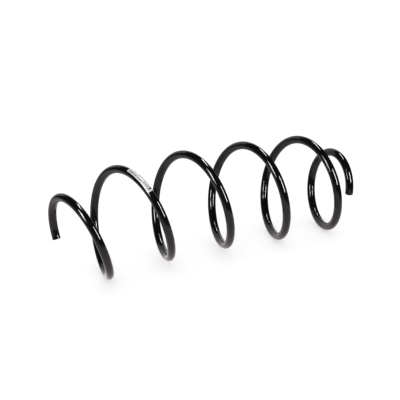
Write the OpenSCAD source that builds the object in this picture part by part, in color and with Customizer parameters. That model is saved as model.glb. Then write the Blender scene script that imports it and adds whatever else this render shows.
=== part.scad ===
// Suspension spring, cold wound from one round bar.
// It lies on its side along X, with its front to -Y, and stands on z = 0.
// The middle turns are wide and open. Both ends close in to smaller, flatter turns
// that sit in the spring seats. The coil's axis is bowed, as on a side-load spring.

/* [Bar] */
// Diameter of the round bar
wire_d = 12; // [9:0.5:15]
// Chamfer round the two sheared ends
end_chamfer = 0.8; // [0.2:0.1:1.5]

/* [Middle turns] */
// Mean diameter of the middle turns
coil_d = 143; // [120:1:170]
// Number of turns from end to end
turns = 5.58; // [4.58:0.01:6.58]
// Rise of one turn at mid length
pitch = 95; // [60:1:105]
// How much less each turn rises than the one on its left
pitch_fall = 4; // [0:0.5:6]
// Angle of the left tip round the axis, from the top towards the front
start_angle = -110; // [-180:1:180]

/* [Left end] */
// Mean diameter at the left tip
left_d = 88; // [70:1:120]
// Turns over which the left end narrows
left_taper_turns = 0.55; // [0.4:0.05:1.5]
// Rise per turn at the left tip
left_rise = 12; // [8:1:40]
// Turns over which the left end flattens
left_flat_turns = 0.85; // [0.5:0.05:1.5]

/* [Right end] */
// Mean diameter at the right tip
right_d = 84; // [70:1:120]
// Turns over which the right end narrows
right_taper_turns = 1.15; // [0.4:0.05:1.5]
// Rise per turn at the right tip
right_rise = 14; // [8:1:40]
// Turns over which the right end flattens
right_flat_turns = 1.25; // [0.5:0.05:1.5]

/* [Bow of the axis] */
// Lean of the left end's turns from the middle ones
left_lean_angle = 11; // [0:0.5:15]
// Lean of the right end's turns from the middle ones
right_lean_angle = 4; // [0:0.5:15]
// Direction of the bow round the axis, from the top towards the front
bow_angle = -10; // [-180:1:180]

/* [Label] */
// Turns from the left tip to the start of the label
label_start_turns = 1.336; // [0.6:0.001:2.5]
// Length of the label along the bar
label_l = 47.5; // [20:0.5:70]
// Width of the label round the bar
label_w = 15; // [8:0.5:17]
// Angle of the label's middle round the bar, from the outside towards the left end
label_angle = -27; // [-90:1:90]
// Thickness of the label stock
label_t = 0.2; // [0.1:0.05:0.4]
// Glue gap between the bar and the label
label_gap = 0.03; // [0.02:0.01:0.05]

/* [Hidden] */

// Sides of the bar's section, and rings along one turn of it
sides = 16;
rings_per_turn = 60;
// Panels across the label's width, and rings along it
label_panels = 12;
label_rings = 10;
// Step in turns for the direction of the bar
turn_step = 0.001;

wire_r = wire_d / 2;
left_chamfer_turns = end_chamfer / (PI * left_d);
right_chamfer_turns = end_chamfer / (PI * right_d);
ring_count = round(turns * rings_per_turn);
label_inner_r = wire_r + label_gap;

// Falls smoothly from 1 at the tip to 0 where the end taper stops
function ease(u) = u < 1 ? pow(1 - u, 2) * (1 + 2 * u) : 0;

// Area under ease from the tip
function ease_sum(u) = u < 1 ? u - pow(u, 3) + pow(u, 4) / 2 : 0.5;

function unit(v) = v / norm(v);

// Direction across the axis, a degrees from the top towards the front
function across(a) = [0, -sin(a), cos(a)];

function coil_radius(t) =
    coil_d / 2
    - (coil_d - left_d) / 2 * ease(t / left_taper_turns)
    - (coil_d - right_d) / 2 * ease((turns - t) / right_taper_turns);

// Distance climbed along the axis after t turns
function climbed(t) =
    pitch * t
    - pitch_fall / 2 * pow(t - turns / 2, 2)
    - (pitch - left_rise) * left_flat_turns * ease_sum(t / left_flat_turns)
    + (pitch - right_rise) * right_flat_turns * ease_sum((turns - t) / right_flat_turns);

half_length = (climbed(turns) - climbed(0)) / 2;
function along(t) = climbed(t) - climbed(0) - half_length;

// Slope of the bowed axis at s from mid length, in degrees
mean_lean = (left_lean_angle + right_lean_angle) / 2;
lean_skew = (left_lean_angle - right_lean_angle) / 2;
function slope(s) = -mean_lean * s / half_length + lean_skew * pow(s / half_length, 2);

// Offset of the bowed axis, the slope summed from mid length
function bow(s) =
    PI / 180 * (-mean_lean * pow(s, 2) / (2 * half_length)
                + lean_skew * pow(s, 3) / (3 * pow(half_length, 2)));

// Direction from the bowed axis out to the bar
function outward(t) =
    let (a = start_angle + 360 * t - bow_angle, q = slope(along(t)))
    [-cos(a) * sin(q), 0, 0] + cos(a) * cos(q) * across(bow_angle) + sin(a) * across(bow_angle + 90);

// Middle of the bar after t turns
function bar_point(t) =
    [along(t), 0, 0] + bow(along(t)) * across(bow_angle) + coil_radius(t) * outward(t);

function bar_direction(t) = unit(bar_point(t + turn_step) - bar_point(t - turn_step));

// Point at radius r round the bar, a degrees from the outside towards the left end
function round_bar(t, r, a) =
    let (d = bar_direction(t), side = unit(cross(d, outward(t))), top = cross(side, d))
    bar_point(t) + r * (cos(a) * top + sin(a) * side);

// Length of bar in one turn at t
function turn_length(t) = norm(bar_point(t + turn_step) - bar_point(t - turn_step)) / (2 * turn_step);

// Rings of the bar: [turns from the left tip, radius]
bar_rings = concat(
    [[0, wire_r - end_chamfer], [left_chamfer_turns, wire_r]],
    [for (i = [1:ring_count - 1]) [turns * i / ring_count, wire_r]],
    [[turns - right_chamfer_turns, wire_r], [turns, wire_r - end_chamfer]]);

bar_skin = [for (ring = bar_rings) for (j = [0:sides - 1]) round_bar(ring[0], ring[1], 360 * j / sides)];

// The spring tips about Y until its left and right halves touch the floor together
function lowest(points) = let (z = min([for (p = points) p.z])) [for (p = points) if (p.z == z) p][0];
left_foot = lowest([for (p = bar_skin) if (p.x < 0) p]);
right_foot = lowest([for (p = bar_skin) if (p.x >= 0) p]);
tip = atan2(right_foot.z - left_foot.z, right_foot.x - left_foot.x);
function tipped(p) = [p.x * cos(tip) + p.z * sin(tip), p.y, p.z * cos(tip) - p.x * sin(tip)];

// Then it is set down with the middle of its box over the origin
tipped_skin = [for (p = bar_skin) tipped(p)];
low = [for (k = [0:2]) min([for (p = tipped_skin) p[k]])];
high = [for (k = [0:2]) max([for (p = tipped_skin) p[k]])];
set_down = [(low.x + high.x) / 2, (low.y + high.y) / 2, low.z];
function at_rest(p) = tipped(p) - set_down;

// Two triangles for each panel between ring i and the next, on rings of n points
function panels(rings, n) = [
    for (i = [0:rings - 2]) for (j = [0:n - 1])
    let (a = i * n + j, b = i * n + (j + 1) % n)
    each [[a, b + n, b], [a, a + n, b + n]]];

// A closed skin over rings of n points, with the cap's faces turned round for the last ring
module skinned(points, n, cap) {
    last = len(points) - n;
    far_cap = [for (f = cap) [for (k = [len(f) - 1:-1:0]) last + f[k]]];
    polyhedron(points = points, faces = concat(cap, panels(len(points) / n, n), far_cap));
}

module spring_wire() {
    color([0.05, 0.05, 0.055])
    skinned([for (p = bar_skin) at_rest(p)], sides, [[for (j = [0:sides - 1]) j]]);
}

// A thin curved strip stuck on the outside of the second turn
module label() {
    label_turns = label_l / turn_length(label_start_turns);
    half_wrap = label_w / 2 / label_inner_r * 180 / PI;
    function panel_angle(j) = label_angle + half_wrap * (2 * j / label_panels - 1);
    strip = [for (i = [0:label_rings])
        let (t = label_start_turns + label_turns * i / label_rings)
        each concat(
            [for (j = [0:label_panels]) round_bar(t, label_inner_r, panel_angle(j))],
            [for (j = [label_panels:-1:0]) round_bar(t, label_inner_r + label_t, panel_angle(j))])];
    n = 2 * (label_panels + 1);
    cap = [for (j = [0:label_panels - 1]) [j, j + 1, n - 2 - j, n - 1 - j]];
    color([0.93, 0.93, 0.92])
    skinned([for (p = strip) at_rest(p)], n, cap);
}

spring_wire();
label();
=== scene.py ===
"""Looks of a suspension spring: gloss black paint on one wound bar, with a small white label."""
import math

import bpy
import numpy as np
from mathutils import Matrix, Vector


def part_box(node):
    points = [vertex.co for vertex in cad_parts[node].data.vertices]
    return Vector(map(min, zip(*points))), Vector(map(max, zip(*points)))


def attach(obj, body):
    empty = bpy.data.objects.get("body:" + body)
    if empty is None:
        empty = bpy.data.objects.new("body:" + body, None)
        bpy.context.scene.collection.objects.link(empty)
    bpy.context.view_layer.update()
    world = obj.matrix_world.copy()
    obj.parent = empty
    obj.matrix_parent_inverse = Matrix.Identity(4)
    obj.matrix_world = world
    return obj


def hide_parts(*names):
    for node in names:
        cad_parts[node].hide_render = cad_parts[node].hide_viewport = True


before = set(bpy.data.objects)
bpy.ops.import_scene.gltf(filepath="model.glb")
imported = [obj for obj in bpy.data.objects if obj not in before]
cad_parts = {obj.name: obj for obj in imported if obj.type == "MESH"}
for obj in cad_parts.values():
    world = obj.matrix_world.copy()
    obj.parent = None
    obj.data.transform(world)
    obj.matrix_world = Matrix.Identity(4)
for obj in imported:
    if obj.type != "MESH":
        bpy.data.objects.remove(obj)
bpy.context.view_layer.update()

# Bar and coil, in metres, turns and degrees, as in the part's source apart from the first two. The
# bar is round here and sixteen-sided there, so its radius lies between that section's corners and
# flats. Its cut ends are rounded here and chamfered there.
WIRE_R = 0.00593
END_ROUND = 0.0005
COIL_R = 0.0715
TURNS = 5.58
PITCH = 0.095
PITCH_FALL = 0.004
START_ANGLE = -110
LEFT_R = 0.044
LEFT_TAPER_TURNS = 0.55
LEFT_RISE = 0.012
LEFT_FLAT_TURNS = 0.85
RIGHT_R = 0.042
RIGHT_TAPER_TURNS = 1.15
RIGHT_RISE = 0.014
RIGHT_FLAT_TURNS = 1.25
LEFT_LEAN_ANGLE = 11
RIGHT_LEAN_ANGLE = 4
BOW_ANGLE = -10

# Label
LABEL_START_TURNS = 1.336
LABEL_L = 0.0475
LABEL_W = 0.015
LABEL_ANGLE = -27
LABEL_T = 0.0002
LABEL_GAP = 0.00003
LABEL_INNER_R = WIRE_R + LABEL_GAP

# Print on the label, in rows: low and high angle round the bar, then the start and end of each mark
# as shares of the label's length
PALE_ROWS = (
    (12, 26, ((0.06, 0.12), (0.13, 0.23), (0.245, 0.30), (0.315, 0.385))),
    (12, 25, ((0.42, 0.50), (0.515, 0.59))),
    (-4, 9, ((0.65, 0.72), (0.735, 0.79), (0.80, 0.845))),
    (-47, -38, ((0.38, 0.60), (0.62, 0.84))),
)
DARK_ROWS = (
    (-44, 2, ((0.88, 0.935),)),
    (12, 22, ((0.865, 0.895), (0.925, 0.955))),
)

# Fineness of the sweeps
SIDES = 48
RINGS_PER_TURN = 170
ROUND_RINGS = 4
LABEL_RINGS = 40
LABEL_PANELS = 36
TURN_STEP = 0.001

# Edges of the label that turn by more than this, in degrees, stay sharp
LABEL_SHARP_ANGLE = 40

# Levels of a noise between which a surface goes from its darker tone to its paler one
PAINT_LEVELS = (0.35, 0.7)
PALE_LEVELS = (0.3, 0.7)

# Paint: its tones, its roughness, and the wavelength and height of its unevenness in metres
PAINT_TONES = ((0.0200, 0.0190, 0.0195), (0.0320, 0.0302, 0.0302))
PAINT_ROUGHNESS = (0.035, 0.075)
TONE_WAVE = 0.03
ROUGHNESS_WAVE = 0.012
PEEL_WAVE = 0.0035
PEEL_HEIGHT = 0.00001
GRIT_WAVE = 0.0008
GRIT_HEIGHT = 0.000004

# Dust: spacing and radius of its specks, and the share of places that have one
COARSE_DUST = (0.007, 0.0004, 0.5)
FINE_DUST = (0.004, 0.0002, 0.4)
SPECK_CORE = 0.6
DUST_COLOUR = (0.25, 0.24, 0.22)
DUST_COVER = 0.35

# Wear at the cut ends: how far in it is measured, where on that way and at which levels of a noise
# the bare steel starts and is full, and how much rougher steel and dust are than the paint
NEAR_CUT_TURNS = 0.012
WORN_REACH = (0.90, 0.98)
WORN_LEVELS = (0.54, 0.60)
WORN_WAVE = 0.0012
STEEL_COLOUR = (0.42, 0.40, 0.38)
WORN_ROUGHNESS = 0.22

# Label stock and print: name, darker and paler tone, and roughness
PAPERS = (
    ("label_stock", (0.86, 0.86, 0.85), (0.93, 0.93, 0.92), 0.42),
    ("pale_print", (0.25, 0.25, 0.26), (0.34, 0.34, 0.35), 0.5),
    ("dark_print", (0.05, 0.05, 0.05), (0.08, 0.08, 0.08), 0.5),
)
FIBRE_WAVE = 0.0009
GRAIN_WAVE = 0.0005
GRAIN_HEIGHT = 0.00001

# Number of each material on the label, in the order of the papers
STOCK, PALE_PRINT, DARK_PRINT = range(3)

# Camera of the photograph
CAMERA_PLACE = (-0.7195, -1.5205, 0.6712)
CAMERA_AZIMUTH = -25.02
CAMERA_ELEVATION = 19.26
CAMERA_ROLL = 2.95
FOCAL_PIXELS = 1210
IMAGE_PIXELS = 400
SENSOR_MM = 36
CLIP_END = 40
# Under 1, it darkens the mid tones, which makes the edges of the black bar heavier
VIEW_GAMMA = 0.74

# Point that the lights face
LIT_POINT = Vector((0, 0, 0.08))

# Lights round that point: name, azimuth, elevation, distance, width, height, roll and radiance
SOFTBOXES = (
    ("left_box", -69.5, 30, 1.36, 0.40, 0.78, -4, 24),
    ("front_box", 28.5, 22, 0.96, 0.28, 0.54, 0, 30),
    ("rear_top_box", 124, 67.4, 2.20, 0.26, 1.38, 22, 26),
    ("top_box", 119, 67, 0.87, 0.37, 0.10, -39, 9),
    ("rear_card", 168.5, 20, 0.66, 1.29, 0.66, -2, 1.18),
)
LABEL_FILL = ("label_fill", -35, 45, 1.5, 1.2, 1.2, 0, 1.3)

# Strength of the even light from all round
WORLD_LIGHT = 0.5

# Floor and far wall, and how strongly they glow
FLOOR_R = 12.0
WALL_H = 10.0
DISC_SIDES = 96
FLOOR_TONES = ((0.85, 0.85, 0.85), (0.87, 0.87, 0.87))
FLOOR_WAVE = 0.4
FLOOR_GLOW = 0.61

# Table's light in the gloss: its colour from dark to bright, its strength, and where it fades, in
# metres from the spring's middle towards the camera and towards the camera's right
CARD_R = 1.3
TABLE_TONES = ((0.02, 0.02, 0.02), (1.0, 0.93, 0.95))
TABLE_LIGHT = 1.28
FADE_BACK = (-0.75, 0.01)
FADE_FRONT = (0.27, 0.39)
FADE_RIGHT = (0.32, 0.38)

X_AXIS = np.array([1.0, 0, 0])


def ease(u):
    """Falls smoothly from 1 at the tip to 0 where the end taper stops."""
    return np.where(u < 1, (1 - u) ** 2 * (1 + 2 * u), 0)


def ease_sum(u):
    """Area under ease from the tip."""
    return np.where(u < 1, u - u**3 + u**4 / 2, 0.5)


def unit(v):
    return v / np.linalg.norm(v, axis=-1, keepdims=True)


def across(angle):
    """Direction across the axis, from the top towards the front."""
    a = math.radians(angle)
    return np.array([0, -math.sin(a), math.cos(a)])


def coil_radius(t):
    left = (COIL_R - LEFT_R) * ease(t / LEFT_TAPER_TURNS)
    right = (COIL_R - RIGHT_R) * ease((TURNS - t) / RIGHT_TAPER_TURNS)
    return COIL_R - left - right


def climbed(t):
    """Distance climbed along the axis after t turns."""
    left = (PITCH - LEFT_RISE) * LEFT_FLAT_TURNS * ease_sum(t / LEFT_FLAT_TURNS)
    right = (PITCH - RIGHT_RISE) * RIGHT_FLAT_TURNS * ease_sum((TURNS - t) / RIGHT_FLAT_TURNS)
    return PITCH * t - PITCH_FALL / 2 * (t - TURNS / 2) ** 2 - left + right


CLIMB_START, CLIMB_END = climbed(np.array([0.0, TURNS]))
HALF_LENGTH = (CLIMB_END - CLIMB_START) / 2
MEAN_LEAN = math.radians(LEFT_LEAN_ANGLE + RIGHT_LEAN_ANGLE) / 2
LEAN_SKEW = math.radians(LEFT_LEAN_ANGLE - RIGHT_LEAN_ANGLE) / 2


def along(t):
    """Place along the axis after t turns, from mid length."""
    return climbed(t) - CLIMB_START - HALF_LENGTH


def slope(s):
    """Slope of the bowed axis at s from mid length."""
    return -MEAN_LEAN * s / HALF_LENGTH + LEAN_SKEW * (s / HALF_LENGTH) ** 2


def bow(s):
    """Offset of the bowed axis, the slope summed from mid length."""
    return -MEAN_LEAN * s**2 / (2 * HALF_LENGTH) + LEAN_SKEW * s**3 / (3 * HALF_LENGTH**2)


def outward(t):
    """Direction from the bowed axis out to the bar."""
    a = np.radians(START_ANGLE + 360 * t - BOW_ANGLE)
    q = slope(along(t))
    lean = -np.cos(a) * np.sin(q)
    rise = np.cos(a) * np.cos(q)
    return (
        lean[:, None] * X_AXIS
        + rise[:, None] * across(BOW_ANGLE)
        + np.sin(a)[:, None] * across(BOW_ANGLE + 90)
    )


def bar_point(t):
    """Middle of the bar after t turns."""
    s = along(t)
    return (
        s[:, None] * X_AXIS
        + bow(s)[:, None] * across(BOW_ANGLE)
        + coil_radius(t)[:, None] * outward(t)
    )


def round_bar(t, r, angles):
    """Points round the bar: one row for each t, one column for each angle from the outside."""
    direction = unit(bar_point(t + TURN_STEP) - bar_point(t - TURN_STEP))
    side = unit(np.cross(direction, outward(t)))
    top = np.cross(side, direction)
    a = np.radians(angles)[:, None]
    ring = np.cos(a) * top[:, None] + np.sin(a) * side[:, None]
    return bar_point(t)[:, None] + np.asarray(r)[..., None] * ring


def turn_length(turns):
    """Length of bar in one turn, after so many turns."""
    before, after = bar_point(turns + TURN_STEP * np.array([-1, 1]))
    return np.linalg.norm(after - before) / (2 * TURN_STEP)


def lowest(points):
    return points[points[:, 2].argmin()]


def tip_angle(points):
    """Angle about Y that brings the left and right halves to one level."""
    left = lowest(points[points[:, 0] < 0])
    right = lowest(points[points[:, 0] >= 0])
    return math.atan2(right[2] - left[2], right[0] - left[0])


def tipped(points, tip):
    c, s = math.cos(tip), math.sin(tip)
    x, y, z = points[..., 0], points[..., 1], points[..., 2]
    return np.stack([x * c + z * s, y, z * c - x * s], -1)


def bar_rings():
    """Turns and radius of each ring, with both sheared ends rounded."""
    quarter = np.linspace(0, math.pi / 2, ROUND_RINGS + 1)
    inset = END_ROUND * (1 - np.sin(quarter))
    depth = END_ROUND * (1 - np.cos(quarter))
    count = round(TURNS * RINGS_PER_TURN)
    middle = TURNS * np.arange(1, count) / count
    left = depth / (2 * math.pi * LEFT_R)
    right = TURNS - depth[::-1] / (2 * math.pi * RIGHT_R)
    turns = np.concatenate([left, middle, right])
    radii = np.concatenate([WIRE_R - inset, np.full(len(middle), WIRE_R), WIRE_R - inset[::-1]])
    return turns, radii


RING_TURNS, RING_RADII = bar_rings()
BAR_SKIN = round_bar(RING_TURNS, RING_RADII[:, None], 360 * np.arange(SIDES) / SIDES).reshape(-1, 3)
TIP = tip_angle(BAR_SKIN)


def set_down():
    """Offset that puts the tipped bar in the middle of the CAD bar's box, on its floor."""
    low, high = (np.array(corner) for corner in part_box("spring_wire"))
    skin = tipped(BAR_SKIN, TIP)
    middle = (low + high) / 2 - (skin.min(0) + skin.max(0)) / 2
    return np.array([middle[0], middle[1], low[2] - skin[:, 2].min()])


SET_DOWN = set_down()


def at_rest(points):
    return tipped(points, TIP) + SET_DOWN


def new_object(name, points, faces):
    mesh = bpy.data.meshes.new(name)
    mesh.from_pydata(points.tolist(), [], faces)
    mesh.shade_smooth()
    mesh.validate()
    mesh.update()
    obj = bpy.data.objects.new(name, mesh)
    bpy.context.scene.collection.objects.link(obj)
    return obj


def tube_faces(rings, n):
    """Quads over rings of n points."""
    return [
        (i * n + j, i * n + (j + 1) % n, (i + 1) * n + (j + 1) % n, (i + 1) * n + j)
        for i in range(rings - 1)
        for j in range(n)
    ]


def end_faces(rings, n):
    """A flat face on the first and on the last of the rings of n points."""
    return [tuple(reversed(range(n))), tuple(range((rings - 1) * n, rings * n))]


def make_bar():
    """The wound bar, with a value on its points that rises to 1 at the cut ends."""
    rings = len(RING_TURNS)
    obj = new_object("bar", at_rest(BAR_SKIN), tube_faces(rings, SIDES) + end_faces(rings, SIDES))
    to_end = np.minimum(RING_TURNS, TURNS - RING_TURNS)
    near_cut = np.clip(1 - to_end / NEAR_CUT_TURNS, 0, 1)
    attribute = obj.data.attributes.new("near_cut", "FLOAT", "POINT")
    attribute.data.foreach_set("value", np.repeat(near_cut, SIDES).astype(np.float32))
    return obj


def marks(rows):
    """Start, end, low and high of each mark in the rows."""
    return [(start, end, low, high) for low, high, spans in rows for start, end in spans]


PALE_MARKS = marks(PALE_ROWS)
DARK_MARKS = marks(DARK_ROWS)


def grid_lines(low, high, steps, stops):
    """Even steps from low to high, less those within a quarter step of a stop, and every stop."""
    even = np.linspace(low, high, steps + 1)
    quarter_step = (high - low) / steps / 4
    kept = [x for x in even[1:-1] if min(abs(x - s) for s in stops) > quarter_step]
    return np.array(sorted({low, high, *kept, *stops}))


def label_lines():
    """Shares along the label and angles round the bar, with a line at each edge of the print."""
    half_wrap = math.degrees(LABEL_W / 2 / LABEL_INNER_R)
    every = PALE_MARKS + DARK_MARKS
    ends = [x for mark in every for x in mark[:2]]
    sides = [x for mark in every for x in mark[2:]]
    shares = grid_lines(0.0, 1.0, LABEL_RINGS, ends)
    angles = grid_lines(LABEL_ANGLE - half_wrap, LABEL_ANGLE + half_wrap, LABEL_PANELS, sides)
    return shares, angles


def on_any(found, share, angle):
    """Whether a place on the label lies on one of the marks."""
    return any(start < share < end and low < angle < high for start, end, low, high in found)


def label_ink(share, angle):
    if on_any(DARK_MARKS, share, angle):
        return DARK_PRINT
    return PALE_PRINT if on_any(PALE_MARKS, share, angle) else STOCK


def label_inks(shares, angles):
    """Material of each face on the label's outside."""
    mid_shares = (shares[:-1] + shares[1:]) / 2
    mid_angles = (angles[:-1] + angles[1:]) / 2
    return [label_ink(share, angle) for share in mid_shares for angle in mid_angles]


def border(rings, n):
    """Points round the edge of a grid of rings of n points, in order."""
    first = list(range(n))
    far = [i * n + n - 1 for i in range(1, rings)]
    last = [(rings - 1) * n + j for j in range(n - 2, -1, -1)]
    near = [i * n for i in range(rings - 2, 0, -1)]
    return first + far + last + near


def strip_faces(rings, n):
    """Outside, underside and edge of a thin strip, on two grids of rings of n points."""
    under = rings * n
    outside = [
        (i * n + j, i * n + j + 1, (i + 1) * n + j + 1, (i + 1) * n + j)
        for i in range(rings - 1)
        for j in range(n - 1)
    ]
    underside = [(under + a, under + d, under + c, under + b) for a, b, c, d in outside]
    edge = border(rings, n)
    sides = [(a, under + a, under + b, b) for a, b in zip(edge, edge[1:] + edge[:1])]
    return outside + underside + sides


def make_label():
    """A thin curved strip on the outside of the second turn, its print cut into its face."""
    shares, angles = label_lines()
    t = LABEL_START_TURNS + LABEL_L / turn_length(LABEL_START_TURNS) * shares
    layers = [round_bar(t, r, angles) for r in (LABEL_INNER_R + LABEL_T, LABEL_INNER_R)]
    faces = strip_faces(len(shares), len(angles))
    obj = new_object("label_strip", at_rest(np.concatenate(layers).reshape(-1, 3)), faces)
    obj.data.set_sharp_from_angle(angle=math.radians(LABEL_SHARP_ANGLE))
    inks = label_inks(shares, angles)
    bare = [STOCK] * (len(faces) - len(inks))
    obj.data.polygons.foreach_set("material_index", inks + bare)
    return obj


class Shader:
    """A material's node tree with a Principled shader, and short calls to add nodes to it."""

    def __init__(self, name):
        self.material = bpy.data.materials.new(name)
        self.material.use_nodes = True
        self.tree = self.material.node_tree
        self.principled = self.tree.nodes["Principled BSDF"]
        self.place = self.node("ShaderNodeTexCoord").outputs["Object"]

    def node(self, kind, **settings):
        made = self.tree.nodes.new(kind)
        for key, value in settings.items():
            setattr(made, key, value)
        return made

    def link(self, source, target):
        self.tree.links.new(source, target)

    def socket(self, key):
        """An input of the Principled shader, its name written with underscores."""
        return self.principled.inputs[key.replace("_", " ")]

    def fix(self, **values):
        """Sets inputs of the Principled shader to constants."""
        for key, value in values.items():
            self.socket(key).default_value = value

    def feed(self, **sources):
        """Links inputs of the Principled shader to other nodes."""
        for key, source in sources.items():
            self.link(source, self.socket(key))

    def noise(self, wavelength, detail=2.0, rough=0.5):
        made = self.node("ShaderNodeTexNoise")
        made.inputs["Scale"].default_value = 1 / wavelength
        made.inputs["Detail"].default_value = detail
        made.inputs["Roughness"].default_value = rough
        self.link(self.place, made.inputs["Vector"])
        return made.outputs["Fac"]

    def split(self, vector):
        made = self.node("ShaderNodeSeparateXYZ")
        self.link(vector, made.inputs[0])
        return made.outputs

    def specks(self, spacing, radius, share):
        """1 on small round specks, one in each of a share of the cells."""
        cells = self.node("ShaderNodeTexVoronoi")
        cells.inputs["Scale"].default_value = 1 / spacing
        self.link(self.place, cells.inputs["Vector"])
        reach = radius / spacing
        near = self.span(cells.outputs["Distance"], (SPECK_CORE * reach, reach), (1, 0))
        chosen = self.math("LESS_THAN", self.split(cells.outputs["Color"])["X"], share)
        return self.math("MULTIPLY", near, chosen)

    def span(self, value, from_ends, to_ends=(0, 1)):
        """A value carried from one range to another, and held inside it."""
        made = self.node("ShaderNodeMapRange", clamp=True)
        for key, number in zip(("From Min", "From Max", "To Min", "To Max"), (*from_ends, *to_ends)):
            made.inputs[key].default_value = number
        self.link(value, made.inputs["Value"])
        return made.outputs["Result"]

    def math(self, operation, a, b):
        """Math on a value and another value or number, held from 0 to 1."""
        made = self.node("ShaderNodeMath", operation=operation, use_clamp=True)
        self.link(a, made.inputs[0])
        if isinstance(b, float):
            made.inputs[1].default_value = b
        else:
            self.link(b, made.inputs[1])
        return made.outputs[0]

    def ramp(self, value, levels, colours):
        """Runs from the first colour at the first level to the second at the second."""
        made = self.node("ShaderNodeValToRGB")
        for element, level, colour in zip(made.color_ramp.elements, levels, colours):
            element.position = level
            element.color = (*colour, 1)
        self.link(value, made.inputs["Fac"])
        return made.outputs["Color"]

    def cover(self, share, below, colour):
        """A colour laid over what is below it, by a share."""
        made = self.node("ShaderNodeMix", data_type="RGBA")
        self.link(share, made.inputs["Factor"])
        first, second = (socket for socket in made.inputs if socket.type == "RGBA")
        self.link(below, first)
        second.default_value = (*colour, 1)
        return next(socket for socket in made.outputs if socket.type == "RGBA")

    def bump(self, pattern, height, after=None):
        """A normal that follows a pattern, on top of an earlier bump where one is given."""
        made = self.node("ShaderNodeBump")
        made.inputs["Distance"].default_value = height
        self.link(pattern, made.inputs["Height"])
        if after is not None:
            self.link(after, made.inputs["Normal"])
        return made.outputs["Normal"]


def black_paint():
    """Gloss black paint with a faint orange peel, a little dust, and worn edges at the cut ends."""
    s = Shader("black_paint")
    s.fix(IOR=1.5)
    tint = s.ramp(s.noise(TONE_WAVE), PAINT_LEVELS, PAINT_TONES)
    dust = s.math("MAXIMUM", s.specks(*COARSE_DUST), s.specks(*FINE_DUST))
    dusted = s.cover(s.math("MULTIPLY", dust, DUST_COVER), tint, DUST_COLOUR)
    near_cut = s.node("ShaderNodeAttribute", attribute_name="near_cut").outputs["Fac"]
    patches = s.span(s.noise(WORN_WAVE, detail=3), WORN_LEVELS)
    worn = s.math("MULTIPLY", s.span(near_cut, WORN_REACH), patches)
    s.feed(Base_Color=s.cover(worn, dusted, STEEL_COLOUR), Metallic=worn)
    smooth = s.span(s.noise(ROUGHNESS_WAVE, detail=3), PAINT_LEVELS, PAINT_ROUGHNESS)
    dull = s.math("MULTIPLY", s.math("ADD", dust, worn), WORN_ROUGHNESS)
    s.feed(Roughness=s.math("ADD", smooth, dull))
    peel = s.bump(s.noise(PEEL_WAVE), PEEL_HEIGHT)
    s.feed(Normal=s.bump(s.noise(GRIT_WAVE, detail=3, rough=0.6), GRIT_HEIGHT, after=peel))
    return s.material


def paper(name, dark, pale, roughness):
    """Satin label stock or the print on it, with a faint fibre grain."""
    s = Shader(name)
    s.fix(Roughness=roughness, IOR=1.45)
    s.feed(Base_Color=s.ramp(s.noise(FIBRE_WAVE, detail=4, rough=0.6), PALE_LEVELS, (dark, pale)))
    s.feed(Normal=s.bump(s.noise(GRAIN_WAVE, detail=3), GRAIN_HEIGHT))
    return s.material


def pale_floor():
    """A pale table top, which glows a little so that shadows on it stay faint."""
    s = Shader("pale_floor")
    s.fix(Roughness=0.9, Specular_IOR_Level=0.1)
    s.fix(Emission_Color=(1, 1, 1, 1), Emission_Strength=FLOOR_GLOW)
    s.feed(Base_Color=s.ramp(s.noise(FLOOR_WAVE, detail=3), PALE_LEVELS, FLOOR_TONES))
    return s.material


def table_light():
    """Light from the table: bright under the spring and to its left, and fading out to the other sides."""
    s = Shader("floor_glow")
    s.tree.nodes.remove(s.principled)
    toward_camera, to_right = s.split(s.place)[:2]
    deep = s.math("MULTIPLY", s.span(toward_camera, FADE_FRONT, (1, 0)), s.span(toward_camera, FADE_BACK))
    lit = s.math("MULTIPLY", deep, s.span(to_right, FADE_RIGHT, (1, 0)))
    glow = s.node("ShaderNodeEmission")
    s.link(s.ramp(lit, (0, 1), TABLE_TONES), glow.inputs["Color"])
    glow.inputs["Strength"].default_value = TABLE_LIGHT
    s.link(glow.outputs[0], s.tree.nodes["Material Output"].inputs["Surface"])
    return s.material


def facing(azimuth, elevation):
    """Direction out from the spring; azimuth 0 is its front and 90 its right end."""
    a, e = math.radians(azimuth), math.radians(elevation)
    return Vector((math.sin(a) * math.cos(e), -math.cos(a) * math.cos(e), math.sin(e)))


def turned(azimuth, elevation, roll):
    """Rotation of a light or camera there that looks at the spring."""
    back = facing(azimuth, elevation)
    right = Vector((0, 0, 1)).cross(back).normalized()
    level = Matrix((right, back.cross(right), back)).transposed().to_4x4()
    return level @ Matrix.Rotation(math.radians(roll), 4, "Z")


def area_light(name, azimuth, elevation, distance, width, height, roll, radiance):
    """A rectangular light that faces the spring."""
    light = bpy.data.lights.new(name, "AREA")
    light.shape = "RECTANGLE"
    light.size, light.size_y = width, height
    light.energy = radiance * math.pi * width * height
    obj = bpy.data.objects.new(name, light)
    place = LIT_POINT + facing(azimuth, elevation) * distance
    obj.matrix_world = Matrix.Translation(place) @ turned(azimuth, elevation, roll)
    obj.visible_camera = False
    bpy.context.scene.collection.objects.link(obj)
    return obj


def make_label_fill(label):
    """Soft light for the white label alone, because the even light is too dim to keep it white."""
    lit = bpy.data.collections.new("label_light")
    lit.objects.link(label)
    fill = area_light(*LABEL_FILL)
    fill.visible_glossy = False
    fill.light_linking.receiver_collection = lit


def make_softboxes():
    """Lights that show in the gloss alone."""
    for softbox in SOFTBOXES:
        area_light(*softbox).visible_diffuse = False


def circle(radius, height):
    a = 2 * math.pi * np.arange(DISC_SIDES) / DISC_SIDES
    return np.stack([radius * np.cos(a), radius * np.sin(a), np.full(DISC_SIDES, height)], -1)


def disc(name, radius):
    return new_object(name, circle(radius, 0.0), [tuple(range(DISC_SIDES))])


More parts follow.
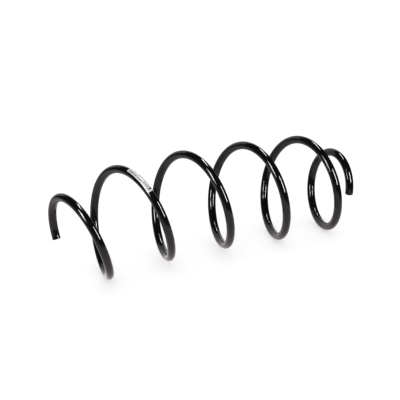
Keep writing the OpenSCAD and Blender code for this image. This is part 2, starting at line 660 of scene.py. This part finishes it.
def wall(name, radius, height):
    """A round wall, open above."""
    rims = np.concatenate([circle(radius, 0.0), circle(radius, height)])
    return new_object(name, rims, tube_faces(2, DISC_SIDES))


def make_floor():
    """A pale floor and far wall, and a card that gives the gloss the table's fading light."""
    floor, backdrop = disc("floor", FLOOR_R), wall("backdrop", FLOOR_R, WALL_H)
    pale = pale_floor()
    for surface in (floor, backdrop):
        surface.data.materials.append(pale)
        surface.visible_glossy = False
    backdrop.visible_diffuse = backdrop.visible_shadow = False
    card = disc("floor_card", CARD_R)
    card.data.materials.append(table_light())
    card.matrix_world = Matrix.Rotation(math.radians(CAMERA_AZIMUTH - 90), 4, "Z")
    card.visible_camera = card.visible_diffuse = card.visible_shadow = False


def make_world():
    """Even white surroundings, which light the scene but aren't mirrored by the gloss."""
    world = bpy.data.worlds.new("studio")
    bpy.context.scene.world = world
    world.use_nodes = True
    background = world.node_tree.nodes["Background"]
    background.inputs["Color"].default_value = (1, 1, 1, 1)
    background.inputs["Strength"].default_value = WORLD_LIGHT
    world.cycles_visibility.glossy = False


def make_camera():
    camera = bpy.data.cameras.new("camera")
    camera.sensor_width = SENSOR_MM
    camera.lens = FOCAL_PIXELS / IMAGE_PIXELS * SENSOR_MM
    camera.clip_end = CLIP_END
    obj = bpy.data.objects.new("camera", camera)
    turn = turned(CAMERA_AZIMUTH, CAMERA_ELEVATION, -CAMERA_ROLL)
    obj.matrix_world = Matrix.Translation(CAMERA_PLACE) @ turn
    bpy.context.scene.collection.objects.link(obj)
    bpy.context.scene.camera = obj


def dress():
    """The painted bar and the label in place of the CAD nodes."""
    bar, label = make_bar(), make_label()
    bar.data.materials.append(black_paint())
    for look in PAPERS:
        label.data.materials.append(paper(*look))
    for piece, node, slot in ((bar, "spring_wire", "black_paint"), (label, "label", "label_stock")):
        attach(piece, "root")
        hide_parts(node)
    make_label_fill(label)


dress()
make_floor()
make_world()
make_softboxes()
make_camera()
bpy.context.scene.view_settings.view_transform = "Standard"
bpy.context.scene.view_settings.gamma = VIEW_GAMMA
